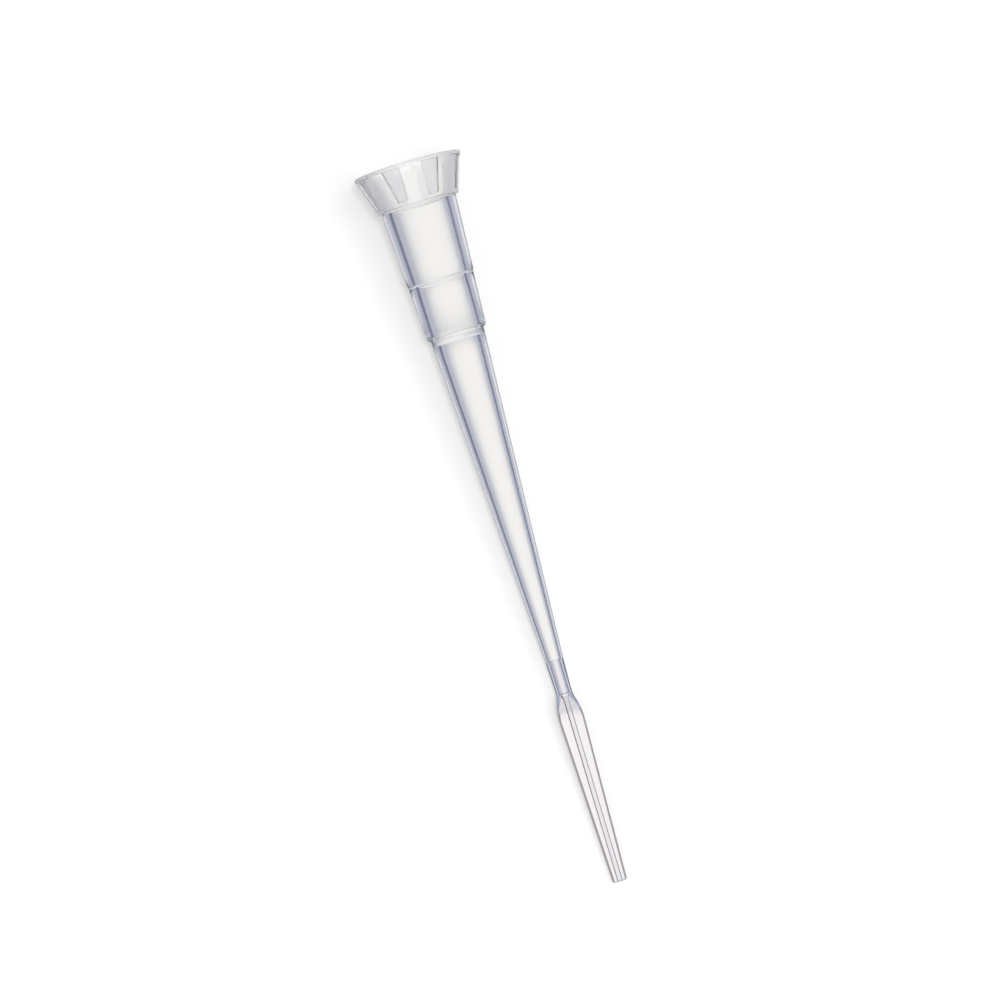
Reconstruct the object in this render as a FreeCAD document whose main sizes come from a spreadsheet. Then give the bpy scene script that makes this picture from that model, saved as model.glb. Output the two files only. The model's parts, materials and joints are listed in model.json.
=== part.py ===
import FreeCAD, Part
import math
import os
import Sketcher
from FreeCAD import Placement, Rotation, Vector

# A flat-ended gel-loading pipette tip: one injection moulding in clear polypropylene, with
# a ribbed collar, a hub that grips the pipette's nozzle, a long tapered shaft, a short
# round neck and a thin flat blade with a flat channel through it.
#
# The moulding is drawn along its own axis, rim face at X = 0 and blade end at
# X = overall_length, and is then laid down on its rim and its blade, as it comes to rest.

doc = FreeCAD.newDocument("gel_loading_tip")

# ---------------------------------------------------------------------------------------
# Sizes in millimetres and degrees. The bore's sizes are set first, from the nozzle that it
# grips, and the outside follows it by the wall's thickness. The shaft takes up the length
# that the collar, hub, neck and blade leave.
# ---------------------------------------------------------------------------------------
SIZES = [
    ("overall_length", 46.0, "rim face to blade end"),
    # collar
    ("rim_diameter", 6.70, "over the rim band"),
    ("rim_height", 0.24, "height of the rim band"),
    ("rim_lip", 0.06, "how far the rim band stands out over the ribs"),
    ("rim_wall", 0.73, "wall at the rim's face"),
    ("rim_round", 0.05, "rounding of the rim band's edges"),
    ("collar_height", 2.45, "rim face to the collar's foot"),
    ("collar_foot_step", 0.18, "how far the ribs stand out over the hub, at their foot"),
    ("collar_foot_round", 0.06, "rounding of the collar's foot"),
    ("rib_count", 8, "ribs round the collar"),
    ("rib_width", 1.45, "width of each rib, the same all the way down"),
    ("rib_turn", 3.0, "how far the ribs are turned from the blade's faces, in degrees"),
    ("panel_depth", 0.20, "how deep the panels lie between the ribs"),
    ("panel_foot", 0.25, "solid band left below the panels"),
    ("panel_corner", 0.12, "radius of the panels' lower corners"),
    # bore of the collar and hub
    ("funnel_rise", 0.10, "how far the funnel ends above the collar's foot"),
    ("entry_lead", 0.15, "length of the slope from the funnel into the entry"),
    ("entry_step", 0.17, "how far that slope narrows the bore, on each side"),
    ("entry_taper", 0.16, "how far the entry narrows down to the ring, on each side"),
    ("seal_lead", 0.14, "length of the slope from the entry into the seal"),
    ("seal_step", 0.13, "how far that slope narrows the bore, on each side"),
    ("seal_diameter", 2.94, "parallel bore that grips the pipette's nozzle"),
    ("seal_length", 3.28, "length of that parallel bore"),
    # outside of the hub
    ("hub_top_wall", 0.43, "wall of the hub, under the collar"),
    ("ring_drop", 4.61, "collar's foot to the witness ring"),
    ("ring_height", 0.12, "length of the witness ring's slope"),
    ("ring_step", 0.04, "how far the hub steps in at the ring"),
    ("ring_wall", 0.505, "wall of the hub, just above the ring"),
    ("hub_end_wall", 0.41, "wall of the hub, at its shoulder"),
    ("shoulder_drop", 0.07, "end of the seal to the hub's shoulder"),
    ("shoulder_height", 0.14, "length of the shoulder's slope"),
    # shaft and neck
    ("shaft_bore_lead", 0.55, "length of the slope from the seal into the shaft"),
    ("shaft_bore_step", 0.26, "how far that slope narrows the bore, on each side"),
    ("shaft_top_wall", 0.48, "wall at the top of the shaft"),
    ("shaft_end_wall", 0.22, "wall at the end of the shaft"),
    ("neck_length", 2.0, "round neck between the shaft and the blade"),
    ("neck_bore_diameter", 0.57, "bore of the neck"),
    ("neck_bore_step", 0.075, "how far the shaft's bore steps in to the neck's"),
    ("neck_bore_reach", 0.15, "how far the neck's bore runs on into the blade"),
    ("neck_end_wall", 0.225, "wall at the neck's end"),
    # blade
    ("blade_length", 12.4, "neck to blade end"),
    ("blade_width", 1.58, "widest part of the blade"),
    ("blade_end_width", 0.90, "width at the blade's end"),
    ("blade_thickness", 0.40, "between the two flat faces"),
    ("blade_hollow_radius", 2.20, "outline where the neck sweeps out"),
    ("blade_swell_radius", 3.80, "outline round the widest part"),
    ("arch_drop", 0.26, "neck's end to the arch where each slope starts"),
    ("ramp_angle", 14.0, "angle of those slopes to the flat faces, in degrees"),
    ("ramp_blend", 3.0, "radius between each slope and its flat face"),
    ("blade_corner_round", 0.13, "rounding of the blade's two end corners"),
    ("blade_upper_round", 0.12, "rounding along the edges of the blade's upper face"),
    ("blade_lower_round", 0.04, "rounding along the lower face, where the mould parts"),
    ("channel_width", 0.34, "width of the flat channel through the blade"),
    ("channel_height", 0.15, "height of that channel"),
]

sheet = doc.addObject("Spreadsheet::Sheet", "sizes")
for row, (alias, value, note) in enumerate(SIZES, start=1):
    sheet.set(f"A{row}", alias)
    sheet.set(f"B{row}", str(value))
    sheet.set(f"C{row}", note)
    sheet.setAlias(f"B{row}", alias)
doc.recompute()


def value_of(formula):
    """The number that a formula on the sheet gives."""
    result = sheet.evalExpression(formula)
    return float(getattr(result, "Value", result))


# ---------------------------------------------------------------------------------------
# Ways of drawing, turning and picking
# ---------------------------------------------------------------------------------------
ORIGIN = (-1, 1)
H_AXIS = -1
V_AXIS = -2
CLOSE = 0.001


def origin_plane(body, role):
    return next(f for f in body.Origin.OriginFeatures if f.Role == role)


def new_sketch(body, name, role):
    """An empty sketch on one of the body's own origin planes."""
    sketch = body.newObject("Sketcher::SketchObject", name)
    sketch.AttachmentSupport = (origin_plane(body, role), [""])
    sketch.MapMode = "FlatFace"
    return sketch


def relate(sketch, kind, *targets):
    sketch.addConstraint(Sketcher.Constraint(kind, *targets))


def measure(sketch, kind, targets, formula):
    """Adds one driving dimension and ties it to the sheet."""
    index = sketch.addConstraint(Sketcher.Constraint(kind, *targets, value_of(formula)))
    sketch.setExpression(f"Constraints[{index}]", formula)


def place_point(sketch, point, x_formula, y_formula):
    """Sets a sketch point by its two coordinates; "0" puts it on an axis."""
    if x_formula == "0":
        relate(sketch, "PointOnObject", *point, V_AXIS)
    else:
        measure(sketch, "DistanceX", (*ORIGIN, *point), x_formula)
    if y_formula == "0":
        relate(sketch, "PointOnObject", *point, H_AXIS)
    else:
        measure(sketch, "DistanceY", (*ORIGIN, *point), y_formula)


def draw_polygon(sketch, corners):
    """A closed outline of straight lines through (x, y) pairs of formulas."""
    spots = [Vector(value_of(x), value_of(y), 0) for x, y in corners]
    following = spots[1:] + spots[:1]
    lines = [sketch.addGeometry(Part.LineSegment(*ends)) for ends in zip(spots, following)]
    for line, next_line, corner in zip(lines, lines[1:] + lines[:1], corners):
        relate(sketch, "Coincident", line, 2, next_line, 1)
        place_point(sketch, (line, 1), *corner)


def turn_round(body, kind, name, sketch):
    """Spins a sketch right round the tip's axis, as a Revolution or a Groove."""
    feature = body.newObject(f"PartDesign::{kind}", name)
    feature.Profile = sketch
    feature.ReferenceAxis = (sketch, ["H_Axis"])
    feature.Angle = 360
    body.Tip = feature
    return feature


def round_edges(body, name, base, radius, wanted):
    """Fillets the edges of the feature `base` for which wanted(middle, edge) is true."""
    doc.recompute()
    names = []
    for number, edge in enumerate(base.Shape.Edges, start=1):
        middle = edge.valueAt((edge.FirstParameter + edge.LastParameter) / 2)
        if wanted(middle, edge):
            names.append(f"Edge{number}")
    feature = body.newObject("PartDesign::Fillet", name)
    feature.Base = (base, names)
    feature.setExpression("Radius", radius)
    body.Tip = feature
    return feature


def same(first, second):
    return abs(first - second) < CLOSE


def is_straight(edge):
    return edge.Curve.TypeId == "Part::GeomLine"


# ---------------------------------------------------------------------------------------
# Outside of the collar, hub, shaft and neck
# ---------------------------------------------------------------------------------------
tip = doc.addObject("PartDesign::Body", "gel_loading_tip")
tip.Label = "gel_loading_tip"

# Distances from the rim's face
FUNNEL_END = "(sizes.collar_height - sizes.funnel_rise)"
RING = "(sizes.collar_height + sizes.ring_drop)"
SEAL_TOP = f"({RING} + sizes.seal_lead)"
SEAL_END = f"({SEAL_TOP} + sizes.seal_length)"
SHOULDER = f"({SEAL_END} + sizes.shoulder_drop)"
NECK_END = "(sizes.overall_length - sizes.blade_length)"
SHAFT_END = f"({NECK_END} - sizes.neck_length)"
NECK_BORE_END = f"({NECK_END} + sizes.neck_bore_reach)"

# Radii of the bore, and of the outside over it
SEAL = "(sizes.seal_diameter / 2)"
ENTRY_FOOT = f"({SEAL} + sizes.seal_step)"
ENTRY_HEAD = f"({ENTRY_FOOT} + sizes.entry_taper)"
FUNNEL_FOOT = f"({ENTRY_HEAD} + sizes.entry_step)"
MOUTH = "(sizes.rim_diameter / 2 - sizes.rim_wall)"
SHAFT_BORE_HEAD = f"({SEAL} - sizes.shaft_bore_step)"
NECK_BORE = "(sizes.neck_bore_diameter / 2)"
SHAFT_BORE_FOOT = f"({NECK_BORE} + sizes.neck_bore_step)"
RIB_TOP = "(sizes.rim_diameter / 2 - sizes.rim_lip)"
HUB_TOP = f"({FUNNEL_FOOT} + sizes.hub_top_wall)"
COLLAR_FOOT = f"({HUB_TOP} + sizes.collar_foot_step)"
RING_TOP = f"({ENTRY_FOOT} + sizes.ring_wall)"
SHAFT_FOOT = f"({SHAFT_BORE_FOOT} + sizes.shaft_end_wall)"
NECK_FOOT = f"({NECK_BORE} + sizes.neck_end_wall)"

outside = new_sketch(tip, "outside", "XZ_Plane")
draw_polygon(outside, [
    ("0", "0"),
    ("0", "sizes.rim_diameter / 2"),
    ("sizes.rim_height", "sizes.rim_diameter / 2"),
    ("sizes.rim_height", RIB_TOP),
    ("sizes.collar_height", COLLAR_FOOT),
    ("sizes.collar_height", HUB_TOP),
    (RING, RING_TOP),
    (f"{RING} + sizes.ring_height", f"{RING_TOP} - sizes.ring_step"),
    (SHOULDER, f"{SEAL} + sizes.hub_end_wall"),
    (f"{SHOULDER} + sizes.shoulder_height", f"{SHAFT_BORE_HEAD} + sizes.shaft_top_wall"),
    (SHAFT_END, SHAFT_FOOT),
    (NECK_END, NECK_FOOT),
    (NECK_END, "0"),
])
outer_form = turn_round(tip, "Revolution", "outer_form", outside)

# ---------------------------------------------------------------------------------------
# Panels between the collar's ribs. Each is cut straight in, between ribs whose sides are
# parallel, and the collar's skin is then turned back in to give all of them a round floor.
# ---------------------------------------------------------------------------------------
HALF_PITCH = "(180 deg / sizes.rib_count)"
PANEL_END = "(sizes.collar_height - sizes.panel_foot)"
RIB_LENGTH = "(sizes.collar_height - sizes.rim_height)"
RIB_FALL = f"({RIB_TOP} - {COLLAR_FOOT})"
RIB_FOOT = f"({COLLAR_FOOT} + {RIB_FALL} * sizes.panel_foot / {RIB_LENGTH})"
PANEL_TURN = f"({HALF_PITCH} - sizes.rib_turn * 1 deg)"
PANEL_PLANE = FUNNEL_FOOT


def half_panel(radius):
    """Half the room between two ribs, on a circle of this radius."""
    return f"{radius} * sin({HALF_PITCH} - asin(sizes.rib_width / 2 / {radius}))"


panel_outline = new_sketch(tip, "panel_outline", "XY_Plane")
panel_outline.setExpression("AttachmentOffset.Rotation.Axis.x", "1")
panel_outline.setExpression("AttachmentOffset.Rotation.Axis.z", "0")
panel_outline.setExpression("AttachmentOffset.Rotation.Angle", PANEL_TURN)
panel_outline.setExpression("AttachmentOffset.Base.y", f"-{PANEL_PLANE} * sin({PANEL_TURN})")
panel_outline.setExpression("AttachmentOffset.Base.z", f"{PANEL_PLANE} * cos({PANEL_TURN})")
draw_polygon(panel_outline, [
    ("sizes.rim_height", f"-({half_panel(RIB_TOP)})"),
    (PANEL_END, f"-({half_panel(RIB_FOOT)})"),
    (PANEL_END, half_panel(RIB_FOOT)),
    ("sizes.rim_height", half_panel(RIB_TOP)),
])

panel_cut = tip.newObject("PartDesign::Pocket", "panel_cut")
panel_cut.Profile = panel_outline
panel_cut.Type = "ThroughAll"
panel_cut.Reversed = True
tip.Tip = panel_cut

panels = tip.newObject("PartDesign::PolarPattern", "panels")
panels.Originals = [panel_cut]
panels.Axis = (outside, ["H_Axis"])
panels.Angle = 360
panels.setExpression("Occurrences", "sizes.rib_count")
tip.Tip = panels

skin = new_sketch(tip, "skin", "XZ_Plane")
draw_polygon(skin, [
    ("sizes.rim_height", "0"),
    ("sizes.rim_height", f"{RIB_TOP} - sizes.panel_depth"),
    (PANEL_END, f"{RIB_FOOT} - sizes.panel_depth"),
    (PANEL_END, "0"),
])
collar_skin = turn_round(tip, "Revolution", "collar_skin", skin)

# A corner's radius stays a little under half the width of the panel's foot.
PANEL_CORNER = f"min(sizes.panel_corner; 0.8 * ({half_panel(RIB_FOOT)}))"

panel_end = value_of(PANEL_END)
panel_corners = round_edges(
    tip, "panel_corners", collar_skin, PANEL_CORNER,
    lambda middle, edge: same(middle.x, panel_end) and is_straight(edge),
)

# ---------------------------------------------------------------------------------------
# Blade. It starts as a turned spindle with the blade's outline, and two slanting cuts
# flatten it like the end of a screwdriver, leaving an arch where each meets the neck.
# ---------------------------------------------------------------------------------------
SWELL_DROP = "sizes.blade_swell_radius - sizes.blade_width / 2"

hollow_radius = value_of("sizes.blade_hollow_radius")
swell_radius = value_of("sizes.blade_swell_radius")
neck_corner = Vector(value_of(NECK_END), value_of(NECK_FOOT), 0)
end_corner = Vector(value_of("sizes.overall_length"), value_of("sizes.blade_end_width / 2"), 0)
neck_foot = Vector(neck_corner.x, 0, 0)
end_foot = Vector(end_corner.x, 0, 0)

# The two arcs touch where the line between their centres crosses them.
hollow_centre = neck_corner + Vector(0, hollow_radius, 0)
centre_gap = hollow_radius + swell_radius
centre_drop = hollow_centre.y + value_of(SWELL_DROP)
sweep = math.acos(centre_drop / centre_gap)
swell_centre = hollow_centre + Vector(centre_gap * math.sin(sweep), -centre_drop, 0)
reach = end_corner - swell_centre
leaving = math.atan2(reach.y, reach.x) + math.acos(swell_radius / reach.Length)
taper_start = swell_centre + Vector(math.cos(leaving), math.sin(leaving), 0) * swell_radius

blade_outline = new_sketch(tip, "blade_outline", "XY_Plane")
QUARTER_TURN = math.pi / 2
UPRIGHT = Vector(0, 0, 1)
hollow, swell, taper, blade_end, blade_axis, blade_top = blade_outline.addGeometry([
    Part.ArcOfCircle(Part.Circle(hollow_centre, UPRIGHT, hollow_radius),
                     -QUARTER_TURN, sweep - QUARTER_TURN),
    Part.ArcOfCircle(Part.Circle(swell_centre, UPRIGHT, swell_radius),
                     leaving, sweep + QUARTER_TURN),
    Part.LineSegment(taper_start, end_corner),
    Part.LineSegment(end_corner, end_foot),
    Part.LineSegment(end_foot, neck_foot),
    Part.LineSegment(neck_foot, neck_corner),
])
relate(blade_outline, "Tangent", hollow, 2, swell, 2)
relate(blade_outline, "Tangent", swell, 1, taper, 1)
relate(blade_outline, "Coincident", taper, 2, blade_end, 1)
relate(blade_outline, "Coincident", blade_end, 2, blade_axis, 1)
relate(blade_outline, "Coincident", blade_axis, 2, blade_top, 1)
relate(blade_outline, "Coincident", blade_top, 2, hollow, 1)
relate(blade_outline, "Vertical", hollow, 1, hollow, 3)
place_point(blade_outline, (hollow, 1), NECK_END, NECK_FOOT)
place_point(blade_outline, (taper, 2), "sizes.overall_length", "sizes.blade_end_width / 2")
place_point(blade_outline, (blade_end, 2), "sizes.overall_length", "0")
place_point(blade_outline, (blade_axis, 2), NECK_END, "0")
measure(blade_outline, "Radius", (hollow,), "sizes.blade_hollow_radius")
measure(blade_outline, "Radius", (swell,), "sizes.blade_swell_radius")
measure(blade_outline, "DistanceY", (swell, 3, *ORIGIN), SWELL_DROP)
spindle = turn_round(tip, "Revolution", "blade_spindle", blade_outline)

FACE = "(sizes.blade_thickness / 2)"
CLEAR = "sizes.blade_width"
FAR = f"(sizes.overall_length + {CLEAR})"
ANGLE = "(sizes.ramp_angle * 1 deg)"
FACE_START = f"({NECK_END} + sizes.arch_drop + ({NECK_FOOT} - {FACE}) / tan({ANGLE}))"
RAMP_TOP = f"({FACE_START} - ({CLEAR} - {FACE}) / tan({ANGLE}))"
BLEND_RUN = f"(sizes.ramp_blend * tan({ANGLE} / 2))"
RAMP_FOOT = (f"{FACE_START} - {BLEND_RUN} * cos({ANGLE})", f"{FACE} + {BLEND_RUN} * sin({ANGLE})")
FACE_HEAD = (f"{FACE_START} + {BLEND_RUN}", FACE)


def spot(x_formula, y_formula):
    return Vector(value_of(x_formula), value_of(y_formula), 0)


ramp_head, ramp_foot, face_head = spot(RAMP_TOP, CLEAR), spot(*RAMP_FOOT), spot(*FACE_HEAD)
far_low, far_high = spot(FAR, FACE), spot(FAR, CLEAR)
blend_radius = value_of("sizes.ramp_blend")
blend_centre = face_head + Vector(0, blend_radius, 0)
blend_sweep = math.radians(value_of("sizes.ramp_angle"))

flat_profile = new_sketch(tip, "flat_profile", "XZ_Plane")
ramp, blend, face, far_side, top_side = flat_profile.addGeometry([
    Part.LineSegment(ramp_head, ramp_foot),
    Part.ArcOfCircle(Part.Circle(blend_centre, UPRIGHT, blend_radius),
                     -QUARTER_TURN - blend_sweep, -QUARTER_TURN),
    Part.LineSegment(face_head, far_low),
    Part.LineSegment(far_low, far_high),
    Part.LineSegment(far_high, ramp_head),
])
relate(flat_profile, "Coincident", ramp, 2, blend, 1)
relate(flat_profile, "Tangent", blend, 2, face, 1)
relate(flat_profile, "Coincident", face, 2, far_side, 1)
relate(flat_profile, "Coincident", far_side, 2, top_side, 1)
relate(flat_profile, "Coincident", top_side, 2, ramp, 1)
place_point(flat_profile, (ramp, 1), RAMP_TOP, CLEAR)
place_point(flat_profile, (ramp, 2), *RAMP_FOOT)
place_point(flat_profile, (face, 1), *FACE_HEAD)
place_point(flat_profile, (face, 2), FAR, FACE)
place_point(flat_profile, (far_side, 2), FAR, CLEAR)

flat_cut = tip.newObject("PartDesign::Pocket", "flat_cut")
flat_cut.Profile = flat_profile
flat_cut.Type = "ThroughAll"
flat_cut.Midplane = True
tip.Tip = flat_cut

flats = tip.newObject("PartDesign::Mirrored", "flats")
flats.Originals = [flat_cut]
flats.MirrorPlane = (origin_plane(tip, "XY_Plane"), [""])
tip.Tip = flats

face_height = value_of(FACE)
length = value_of("sizes.overall_length")
blade_corners = round_edges(
    tip, "blade_corners", flats, "sizes.blade_corner_round",
    lambda middle, edge: same(middle.x, length) and abs(middle.z) < face_height - CLOSE,
)


def on_flat_border(middle, edge):
    """The arches, the long edges and the end edges round the two flat faces."""
    across = is_straight(edge) and middle.x < length - CLOSE
    lowest = min(abs(vertex.Z) for vertex in edge.Vertexes)
    return middle.x > neck_corner.x and lowest > face_height - CLOSE and not across


# The two roundings leave nearly half of the blade's thickness straight.
UPPER_ROUND = "min(sizes.blade_upper_round; 0.4 * sizes.blade_thickness)"
LOWER_ROUND = "min(sizes.blade_lower_round; 0.15 * sizes.blade_thickness)"
upper_edges = round_edges(
    tip, "upper_edges", blade_corners, UPPER_ROUND,
    lambda middle, edge: on_flat_border(middle, edge) and middle.z > 0,
)
lower_edges = round_edges(
    tip, "lower_edges", upper_edges, LOWER_ROUND,
    lambda middle, edge: on_flat_border(middle, edge) and middle.z < 0,
)

# ---------------------------------------------------------------------------------------
# Bore, from the funnel in the collar down to the neck, and the channel in the blade
# ---------------------------------------------------------------------------------------
bore_profile = new_sketch(tip, "bore_profile", "XZ_Plane")
draw_polygon(bore_profile, [
    ("0", "0"),
    ("0", MOUTH),
    (FUNNEL_END, FUNNEL_FOOT),
    (f"{FUNNEL_END} + sizes.entry_lead", ENTRY_HEAD),
    (RING, ENTRY_FOOT),
    (SEAL_TOP, SEAL),
    (SEAL_END, SEAL),
    (f"{SEAL_END} + sizes.shaft_bore_lead", SHAFT_BORE_HEAD),
    (SHAFT_END, SHAFT_BORE_FOOT),
    (SHAFT_END, NECK_BORE),
    (NECK_BORE_END, NECK_BORE),
    (NECK_BORE_END, "0"),
])
bore = turn_round(tip, "Groove", "bore", bore_profile)

# The channel's section is a slot, two half circles joined by straight lines.
SLOT_SIDE = "(sizes.channel_width - sizes.channel_height) / 2"
slot_radius = value_of("sizes.channel_height / 2")
slot_side = value_of(SLOT_SIDE)

channel_section = new_sketch(tip, "channel_section", "YZ_Plane")
channel_section.setExpression("AttachmentOffset.Base.z", NECK_BORE_END)
right_end, upper_side, left_end, lower_side = channel_section.addGeometry([
    Part.ArcOfCircle(Part.Circle(Vector(slot_side, 0, 0), UPRIGHT, slot_radius),
                     -QUARTER_TURN, QUARTER_TURN),
    Part.LineSegment(Vector(slot_side, slot_radius, 0), Vector(-slot_side, slot_radius, 0)),
    Part.ArcOfCircle(Part.Circle(Vector(-slot_side, 0, 0), UPRIGHT, slot_radius),
                     QUARTER_TURN, 3 * QUARTER_TURN),
    Part.LineSegment(Vector(-slot_side, -slot_radius, 0), Vector(slot_side, -slot_radius, 0)),
])
relate(channel_section, "Tangent", right_end, 2, upper_side, 1)
relate(channel_section, "Tangent", upper_side, 2, left_end, 1)
relate(channel_section, "Tangent", left_end, 2, lower_side, 1)
relate(channel_section, "Tangent", lower_side, 2, right_end, 1)
place_point(channel_section, (right_end, 3), SLOT_SIDE, "0")
relate(channel_section, "Symmetric", right_end, 3, left_end, 3, *ORIGIN)
measure(channel_section, "Radius", (right_end,), "sizes.channel_height / 2")

channel = tip.newObject("PartDesign::Pocket", "channel")
channel.Profile = channel_section
channel.Type = "ThroughAll"
channel.Reversed = True
tip.Tip = channel

# ---------------------------------------------------------------------------------------
# Rounded edges of the rim and of the collar's foot
# ---------------------------------------------------------------------------------------
rim_radius = value_of("sizes.rim_diameter / 2")
mouth_radius = value_of(MOUTH)
rim_height = value_of("sizes.rim_height")
collar_height = value_of("sizes.collar_height")
foot_radius = value_of(COLLAR_FOOT)


def is_ring(edge, at, radius):
    """Is this edge a circle round the tip's axis, at this distance and of this radius?"""
    curve = edge.Curve
    if curve.TypeId != "Part::GeomCircle":
        return False
    return same(curve.Center.x, at) and same(curve.Radius, radius)


rim_edges = round_edges(
    tip, "rim_edges", channel, "sizes.rim_round",
    lambda middle, edge: is_ring(edge, 0, rim_radius) or is_ring(edge, 0, mouth_radius)
    or is_ring(edge, rim_height, rim_radius),
)
collar_foot = round_edges(
    tip, "collar_foot", rim_edges, "sizes.collar_foot_round",
    lambda middle, edge: is_ring(edge, collar_height, foot_radius),
)

# ---------------------------------------------------------------------------------------
# At rest the tip lies on its rim band and on the end of its blade, rim end up. Both are
# rounded, so the floor is the line that touches the two roundings.
# ---------------------------------------------------------------------------------------
rim_round = value_of("sizes.rim_round")
edge_round = value_of(LOWER_ROUND)
rim_rest = Vector(rim_height - rim_round, 0, rim_round - rim_radius)
blade_rest = Vector(length - edge_round, 0, edge_round - face_height)
span = blade_rest - rim_rest
lean = math.atan2(span.z, span.x) + math.asin((rim_round - edge_round) / span.Length)
tip.Placement = Placement(Vector(), Rotation(Vector(0, 1, 0), math.degrees(lean)))
doc.recompute()

box = tip.Shape.optimalBoundingBox(False, False)
tip.Placement.Base = -Vector(box.Center.x, box.Center.y, box.ZMin)
doc.recompute()

# ---------------------------------------------------------------------------------------
# Every object has to be sound before the part is written.
# ---------------------------------------------------------------------------------------
failed = [o.Name for o in doc.Objects if {"Invalid", "Error"} & set(o.State)]
if failed:
    raise RuntimeError(f"these did not build: {failed}")
if tip.Shape.isNull() or not tip.Shape.isValid() or len(tip.Shape.Solids) != 1:
    raise RuntimeError("the tip is not one sound solid")

os.makedirs("parts", exist_ok=True)
tip.Shape.exportStep(f"parts/{tip.Label}.step")

box = tip.Shape.optimalBoundingBox(False, False)
print(f"box {box.XLength:.3f} x {box.YLength:.3f} x {box.ZLength:.3f} mm, lowest {box.ZMin:.4f}")
print(f"volume {tip.Shape.Volume:.2f} mm3, lean {math.degrees(lean):.3f} degrees")
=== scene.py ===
import json
import math

import bmesh
import bpy
from mathutils import Matrix, Vector


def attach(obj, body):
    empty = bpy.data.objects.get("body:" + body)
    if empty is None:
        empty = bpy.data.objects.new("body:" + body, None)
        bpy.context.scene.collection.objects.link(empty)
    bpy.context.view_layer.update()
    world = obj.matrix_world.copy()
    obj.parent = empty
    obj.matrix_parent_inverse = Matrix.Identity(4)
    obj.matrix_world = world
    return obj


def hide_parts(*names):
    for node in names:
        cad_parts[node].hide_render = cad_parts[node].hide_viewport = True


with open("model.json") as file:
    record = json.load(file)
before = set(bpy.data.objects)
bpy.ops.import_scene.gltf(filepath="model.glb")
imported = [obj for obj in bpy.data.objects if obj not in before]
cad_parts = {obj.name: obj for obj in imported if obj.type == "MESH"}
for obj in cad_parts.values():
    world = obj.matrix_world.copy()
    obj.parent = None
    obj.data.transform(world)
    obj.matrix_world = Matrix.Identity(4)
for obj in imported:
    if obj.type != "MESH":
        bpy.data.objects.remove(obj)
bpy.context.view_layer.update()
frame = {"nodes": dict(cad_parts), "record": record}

# Tip: one injection moulding in natural polypropylene, which is clear but a little milky.
# It lies on its rim band and on the end of its blade, as it comes to rest. Each part of it
# has a finish of its own.
PLASTIC_IOR = 1.49
CLEAR = (0.988, 0.982, 0.975, 1.0)
GRAIN_PER_METRE = 9000
GRAIN_DETAIL = 3
GRAIN_SPREAD = (0.3, 0.7)
STREAKS_PER_METRE = (60, 3500, 3500)
STREAK_DETAIL = 1
STREAK_DEPTH = 0.0000002

# What share of lamp light each surface passes on, from one met squarely, at 0, to one met
# edge on, at 1. It stands in for the light's bending. The blade passes on less, so that its
# shadow shows.
PASSED_BY_LAMPS = ((0.0, 0.98), (0.2, 0.95), (0.4, 0.74), (0.7, 0.26), (1.0, 0.05))
PASSED_BY_BLADE = ((0.0, 0.72), (0.4, 0.55), (0.7, 0.25), (1.0, 0.08))
PLAIN_BLEND = 0.5

record = frame["record"]
socket = next(m for m in record["mounts"] if m["name"] == "nozzle_socket")
rim_face = next(m for m in record["mounts"] if m["name"] == "rim_face")
AXIS = -Vector(socket["axis"]).normalized()
ON_AXIS = Vector(socket["pos_m"])
RIM_FACE = Vector(rim_face["pos_m"])
LEAN = math.atan2(-AXIS.z, AXIS.x)


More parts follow.
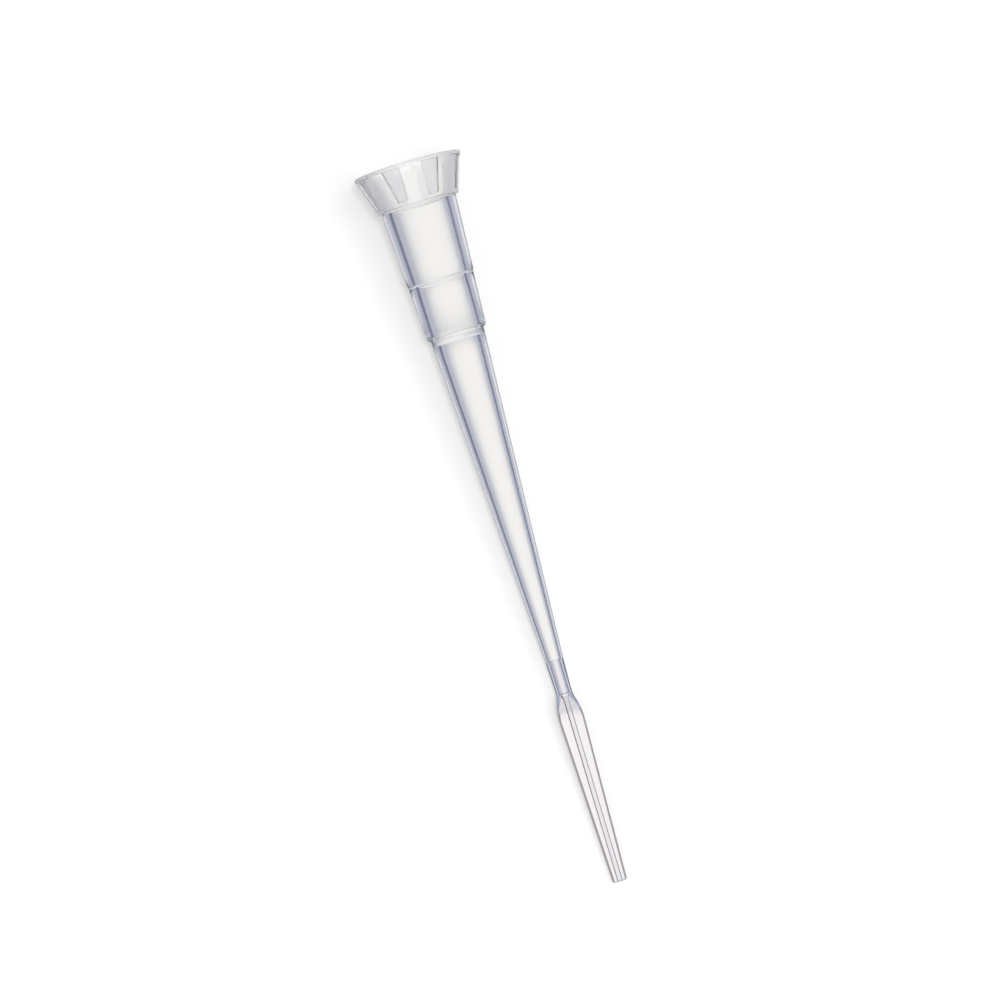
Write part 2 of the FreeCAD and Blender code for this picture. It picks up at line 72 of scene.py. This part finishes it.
def clear_polypropylene(
    name, dullness, clear_share, colour=CLEAR, ior=PLASTIC_IOR, passed_on=PASSED_BY_LAMPS
):
    """Clear plastic with a fine grain and faint flow streaks, which lets lamp light by."""
    material = bpy.data.materials.new(name)
    material.use_nodes = True
    nodes = material.node_tree.nodes
    links = material.node_tree.links
    plastic = nodes["Principled BSDF"]
    plastic.inputs["Base Color"].default_value = colour
    plastic.inputs["IOR"].default_value = ior
    plastic.inputs["Transmission Weight"].default_value = clear_share

    place = nodes.new("ShaderNodeTexCoord")
    along_tip = nodes.new("ShaderNodeMapping")
    along_tip.inputs["Rotation"].default_value = (0, -LEAN, 0)
    links.new(place.outputs["Object"], along_tip.inputs["Vector"])

    grain = nodes.new("ShaderNodeTexNoise")
    grain.inputs["Scale"].default_value = GRAIN_PER_METRE
    grain.inputs["Detail"].default_value = GRAIN_DETAIL
    links.new(along_tip.outputs["Vector"], grain.inputs["Vector"])
    finish = nodes.new("ShaderNodeMapRange")
    finish.inputs["From Min"].default_value = GRAIN_SPREAD[0]
    finish.inputs["From Max"].default_value = GRAIN_SPREAD[1]
    finish.inputs["To Min"].default_value = dullness[0]
    finish.inputs["To Max"].default_value = dullness[1]
    links.new(grain.outputs["Fac"], finish.inputs["Value"])
    links.new(finish.outputs["Result"], plastic.inputs["Roughness"])

    stretched = nodes.new("ShaderNodeVectorMath")
    stretched.operation = "MULTIPLY"
    stretched.inputs[1].default_value = STREAKS_PER_METRE
    links.new(along_tip.outputs["Vector"], stretched.inputs[0])
    streaks = nodes.new("ShaderNodeTexNoise")
    streaks.inputs["Scale"].default_value = 1
    streaks.inputs["Detail"].default_value = STREAK_DETAIL
    links.new(stretched.outputs["Vector"], streaks.inputs["Vector"])
    flow = nodes.new("ShaderNodeBump")
    flow.inputs["Distance"].default_value = STREAK_DEPTH
    links.new(streaks.outputs["Fac"], flow.inputs["Height"])
    links.new(flow.outputs["Normal"], plastic.inputs["Normal"])

    facing = nodes.new("ShaderNodeLayerWeight")
    facing.inputs["Blend"].default_value = PLAIN_BLEND
    passed = nodes.new("ShaderNodeValToRGB")
    elements = passed.color_ramp.elements
    for position, level in passed_on[1:-1]:
        elements.new(position)
    for element, (position, level) in zip(elements, passed_on):
        element.position = position
        element.color = (level, level, level, 1)
    links.new(facing.outputs["Facing"], passed.inputs["Fac"])
    lamp_stand_in = nodes.new("ShaderNodeBsdfTransparent")
    links.new(passed.outputs["Color"], lamp_stand_in.inputs["Color"])
    ray = nodes.new("ShaderNodeLightPath")
    surface = plastic.outputs["BSDF"]
    for lit_by in ("Is Diffuse Ray", "Is Shadow Ray"):
        seen_or_lit = nodes.new("ShaderNodeMixShader")
        links.new(ray.outputs[lit_by], seen_or_lit.inputs["Fac"])
        links.new(surface, seen_or_lit.inputs[1])
        links.new(lamp_stand_in.outputs["BSDF"], seen_or_lit.inputs[2])
        surface = seen_or_lit.outputs["Shader"]
    links.new(surface, nodes["Material Output"].inputs["Surface"])
    return material


# The hub and shaft are polished, and the bore is a little duller. The collar's ribs are
# bright, and the panels between them are matt. The panels also have a darker lilac grey
# painted on, as painted shade for the light their matt floors send aside. The ledges and
# the shoulder show as pale lines: their low refractive index stands in for roundings too
# fine to model.
MATT_PAINTED_SHADE = (0.84, 0.825, 0.85, 1.0)
LEDGE_IOR = 1.10
SHOULDER_IOR = 1.20
FINISHES = {
    "polished": clear_polypropylene("polypropylene_polished", (0.02, 0.05), 0.98),
    "bore": clear_polypropylene("polypropylene_bore", (0.03, 0.08), 0.98),
    "rib": clear_polypropylene("polypropylene_rib", (0.05, 0.10), 0.64),
    "panel": clear_polypropylene("polypropylene_panel_painted_shade", (0.15, 0.17), 0.50, MATT_PAINTED_SHADE),
    "ledge": clear_polypropylene("polypropylene_ledge", (0.10, 0.16), 0.75, ior=LEDGE_IOR),
    "shoulder": clear_polypropylene(
        "polypropylene_shoulder", (0.05, 0.08), 0.85, ior=SHOULDER_IOR
    ),
}

# The neck and the blade are the thinnest parts, and are a touch warmer. The blade's upper
# roundings and one side of its channel are painted dull brown. This is painted shade for
# the dark lines that the bending of light draws there, so they have finishes of their own.
NECK_CLEAR = (0.950, 0.935, 0.955, 1.0)
BLADE_CLEAR = (0.985, 0.965, 0.975, 1.0)
# Painted shade: the dull brown of the blade's dark lines at its roundings and channel side.
EDGE_PAINTED_SHADE = (0.38, 0.32, 0.32, 1.0)
WALL_PAINTED_SHADE = (0.24, 0.13, 0.15, 1.0)
FINISHES |= {
    "neck": clear_polypropylene("polypropylene_neck", (0.02, 0.05), 0.98, NECK_CLEAR),
    "blade": clear_polypropylene(
        "polypropylene_blade", (0.02, 0.05), 0.98, BLADE_CLEAR, passed_on=PASSED_BY_BLADE
    ),
    "edge": clear_polypropylene(
        "polypropylene_edge_painted_shade", (0.10, 0.20), 0.38, EDGE_PAINTED_SHADE, passed_on=PASSED_BY_BLADE
    ),
    "wall": clear_polypropylene(
        "polypropylene_wall_painted_shade", (0.10, 0.20), 0.22, WALL_PAINTED_SHADE, passed_on=PASSED_BY_BLADE
    ),
}

# Where each finish starts and ends, as a distance along the tip from its rim's face, and
# how far a face slants to count as a ledge, a rounding or the channel's side.
COLLAR_RIM = 0.00024
COLLAR_FOOT = 0.00245
SHOULDER_START = 0.0105
STEPPED_PART_END = 0.0115
NECK_START = 0.0318
BLADE_START = 0.0340
EDGES_START = 0.0348
PAINTED_SHADE_WALL_END = 0.0415
LEDGE_SLANT = 0.38
ROUNDING_SLANT = 0.12
WALL_SLANT = 0.30
INWARD_SLANT = 0.05
RIB_TOP_RADIUS = 0.00329
RIB_FOOT_RADIUS = 0.00254
PANEL_TELLING_DEPTH = 0.00012


def finish_of(face):
    """Which finish this face has."""
    middle = face.calc_center_median()
    station = (middle - RIM_FACE).dot(AXIS)
    out = middle - ON_AXIS - (middle - ON_AXIS).dot(AXIS) * AXIS
    faces_in = face.normal.dot(out.normalized()) < -INWARD_SLANT
    if station < STEPPED_PART_END and abs(face.normal.dot(AXIS)) > LEDGE_SLANT:
        return "ledge" if station < SHOULDER_START else "shoulder"
    if station > BLADE_START:
        # Painted shade: the channel's side towards +y, and below it the blade's upper
        # roundings, take the dull brown finishes.
        if faces_in and station < PAINTED_SHADE_WALL_END and face.normal.y > WALL_SLANT:
            return "wall"
        sideways = abs(face.normal.y) > ROUNDING_SLANT and face.normal.z > ROUNDING_SLANT
        return "edge" if sideways and not faces_in and station > EDGES_START else "blade"
    if station > NECK_START:
        return "neck"
    if faces_in and station > COLLAR_RIM:
        return "bore"
    if station > COLLAR_FOOT:
        return "polished"
    down = (station - COLLAR_RIM) / (COLLAR_FOOT - COLLAR_RIM)
    rib_radius = RIB_TOP_RADIUS + down * (RIB_FOOT_RADIUS - RIB_TOP_RADIUS)
    # The panels take the matt finish, whose darker grey is painted shade.
    on_panel = station > COLLAR_RIM and out.length < rib_radius - PANEL_TELLING_DEPTH
    return "panel" if on_panel else "rib"


# The tip's skin is the modelled solid's own, with its corners joined. Its mould has sharp
# steps at the ribs, ledges and blade ends, and everything else is turned and smooth.
MERGE_WITHIN = 0.0000001
SHARP_FROM = math.radians(28)

moulding = bmesh.new()
moulding.from_mesh(frame["nodes"]["gel_loading_tip"].data)
bmesh.ops.remove_doubles(moulding, verts=moulding.verts, dist=MERGE_WITHIN)
bmesh.ops.recalc_face_normals(moulding, faces=moulding.faces)
for face in moulding.faces:
    face.smooth = True
    face.material_index = list(FINISHES).index(finish_of(face))
for edge in moulding.edges:
    edge.smooth = edge.calc_face_angle(0) < SHARP_FROM

tip_mesh = bpy.data.meshes.new("tip_moulding")
moulding.to_mesh(tip_mesh)
moulding.free()
for material in FINISHES.values():
    tip_mesh.materials.append(material)
tip = bpy.data.objects.new("tip_moulding", tip_mesh)
bpy.context.scene.collection.objects.link(tip)
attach(tip, "root")
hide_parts("gel_loading_tip")

# Light pad: a plain white opal sheet, far wider than the tip. Its light leans towards one
# point high above, so plastic that bends the view shows the pad darker and bluer the more
# it bends it, up to about 55 degrees.
PAD_SIDE = 1.6
PAD_COLOUR = (0.90, 0.90, 0.90, 1.0)
PAD_COLOUR_IN_GLASS = (0.10, 0.10, 0.10, 1.0)
PAD_GLOW = (0.11, 0.11, 0.11, 1.0)
PAD_GLOW_IN_GLASS = 0.95
LIGHT_MEETS_AT = (0.0, -0.0075, 0.143)

# The pad's brightness by how far its light leaves the straight way to the meeting point,
# fitted to the bands that the hub shows. Each position is the square root of 1 less the
# cosine of that angle, which spreads the small angles out: 0.215 is 17.5 degrees, and 1.0
# is 90.
SPREAD_POWER = 0.5
FALL_OFF = (
    (0.0, (0.97, 0.965, 0.955)),
    (0.031, (0.96, 0.955, 0.945)),
    (0.068, (0.93, 0.925, 0.915)),
    (0.099, (0.87, 0.865, 0.86)),
    (0.129, (0.76, 0.765, 0.77)),
    (0.160, (0.65, 0.665, 0.70)),
    (0.215, (0.50, 0.52, 0.60)),
    (0.276, (0.40, 0.43, 0.54)),
    (0.348, (0.39, 0.42, 0.54)),
    (0.431, (0.38, 0.41, 0.53)),
    (0.513, (0.24, 0.26, 0.38)),
    (0.592, (0.04, 0.06, 0.17)),
    (0.659, (0.00, 0.01, 0.09)),
    (0.749, (0.12, 0.14, 0.21)),
    (0.890, (0.52, 0.55, 0.61)),
    (1.0, (0.70, 0.73, 0.79)),
)


def in_glass(nodes, links, ray):
    """The output that is 1 for what is seen through the plastic or mirrored in it."""
    either = nodes.new("ShaderNodeMath")
    either.operation = "MAXIMUM"
    links.new(ray.outputs["Is Glossy Ray"], either.inputs[0])
    links.new(ray.outputs["Is Transmission Ray"], either.inputs[1])
    return either.outputs[0]


def blend(nodes, links, factor, first, second):
    """The output that goes from first to second, each a colour or an output, by factor."""
    mix = nodes.new("ShaderNodeMix")
    mix.data_type = "RGBA"
    links.new(factor, mix.inputs["Factor"])
    for name, value in (("A", first), ("B", second)):
        if isinstance(value, tuple):
            mix.inputs[name].default_value = value
        else:
            links.new(value, mix.inputs[name])
    return mix.outputs["Result"]


opal = bpy.data.materials.new("white_opal_pad")
opal.use_nodes = True
nodes = opal.node_tree.nodes
links = opal.node_tree.links
matt = nodes["Principled BSDF"]
matt.inputs["Roughness"].default_value = 1.0
matt.inputs["Specular IOR Level"].default_value = 0.0
ray = nodes.new("ShaderNodeLightPath")
seen_in_glass = in_glass(nodes, links, ray)
colour = blend(nodes, links, seen_in_glass, PAD_COLOUR, PAD_COLOUR_IN_GLASS)
links.new(colour, matt.inputs["Base Color"])

place = nodes.new("ShaderNodeTexCoord")
towards_meeting = nodes.new("ShaderNodeVectorMath")
towards_meeting.operation = "SUBTRACT"
towards_meeting.inputs[0].default_value = LIGHT_MEETS_AT
links.new(place.outputs["Object"], towards_meeting.inputs[1])
lit_along = nodes.new("ShaderNodeVectorMath")
lit_along.operation = "NORMALIZE"
links.new(towards_meeting.outputs[0], lit_along.inputs[0])
facing = nodes.new("ShaderNodeLayerWeight")
facing.inputs["Blend"].default_value = PLAIN_BLEND
links.new(lit_along.outputs[0], facing.inputs["Normal"])
slant = nodes.new("ShaderNodeMath")
slant.operation = "POWER"
slant.inputs[1].default_value = SPREAD_POWER
links.new(facing.outputs["Facing"], slant.inputs[0])
fall_off = nodes.new("ShaderNodeValToRGB")
elements = fall_off.color_ramp.elements
for position, shade in FALL_OFF[1:-1]:
    elements.new(position)
for element, (position, shade) in zip(elements, FALL_OFF):
    element.position = position
    element.color = (*shade, 1)
links.new(slant.outputs[0], fall_off.inputs["Fac"])

level = nodes.new("ShaderNodeMath")
level.operation = "MULTIPLY"
level.inputs[1].default_value = PAD_GLOW_IN_GLASS
links.new(seen_in_glass, level.inputs[0])
glow_in_glass = nodes.new("ShaderNodeVectorMath")
glow_in_glass.operation = "SCALE"
links.new(fall_off.outputs["Color"], glow_in_glass.inputs[0])
links.new(level.outputs[0], glow_in_glass.inputs["Scale"])
glow = blend(nodes, links, ray.outputs["Is Camera Ray"], glow_in_glass.outputs[0], PAD_GLOW)
links.new(glow, matt.inputs["Emission Color"])
matt.inputs["Emission Strength"].default_value = 1.0

bpy.ops.mesh.primitive_plane_add(size=PAD_SIDE)
pad = bpy.context.object
pad.name = "light_pad"
pad.data.materials.append(opal)

# Studio: a plain grey room, a little paler and cooler where the plastic shows it. Behind
# the tip it is white.
ROOM_LIT = (0.38, 0.38, 0.38, 1.0)
ROOM_IN_GLASS = (0.56, 0.57, 0.61, 1.0)
WHITE = (1.0, 1.0, 1.0, 1.0)

world = bpy.data.worlds.new("studio")
bpy.context.scene.world = world
world.use_nodes = True
nodes = world.node_tree.nodes
links = world.node_tree.links
room = nodes["Background"]
ray = nodes.new("ShaderNodeLightPath")
lit_or_shown = blend(nodes, links, in_glass(nodes, links, ray), ROOM_LIT, ROOM_IN_GLASS)
shown = blend(nodes, links, ray.outputs["Is Camera Ray"], lit_or_shown, WHITE)
links.new(shown, room.inputs["Color"])
room.inputs["Strength"].default_value = 1.0

# Two round soft boxes hang over the tip. The small one, nearly straight above, draws the
# narrow dark edge of its shadow, and the wide one, to the right, the long pale rest.
AIM = Vector((0, 0, 0))


def soft_box(name, place, width, power):
    """A round soft box that points at the tip, and is itself in no reflection."""
    lamp = bpy.data.lights.new(name, "AREA")
    lamp.shape = "DISK"
    lamp.size = width
    lamp.energy = power
    holder = bpy.data.objects.new(name, lamp)
    bpy.context.scene.collection.objects.link(holder)
    holder.location = place
    direction = AIM - Vector(place)
    holder.rotation_euler = direction.to_track_quat("-Z", "Y").to_euler()
    holder.visible_glossy = False
    holder.visible_transmission = False


soft_box("soft_box_above", place=(0.01, 0.03, 0.42), width=0.07, power=0.62)
soft_box("soft_box_beside", place=(0.01, 0.15, 0.385), width=0.28, power=0.66)

# Camera: straight above the tip, with the tip lying aslant across its view.
CAMERA_PLACE = Vector((-0.00175, -0.00039, 0.1429))
PICTURE_RIGHT = Vector((0.28581, 0.95829, 0))
PICTURE_UP = Vector((-0.95829, 0.28581, 0))
TOWARDS_CAMERA = Vector((0, 0, 1))
LENS_MM = 82.7
SENSOR_MM = 36
NEAREST_SEEN = 0.01
FURTHEST_SEEN = 10

camera_data = bpy.data.cameras.new("camera")
camera_data.lens = LENS_MM
camera_data.sensor_width = SENSOR_MM
camera_data.clip_start = NEAREST_SEEN
camera_data.clip_end = FURTHEST_SEEN
camera = bpy.data.objects.new("camera", camera_data)
bpy.context.scene.collection.objects.link(camera)
axes = Matrix((PICTURE_RIGHT, PICTURE_UP, TOWARDS_CAMERA)).transposed()
camera.matrix_world = Matrix.Translation(CAMERA_PLACE) @ axes.to_4x4()
bpy.context.scene.camera = camera
bpy.context.scene.view_settings.view_transform = "Standard"
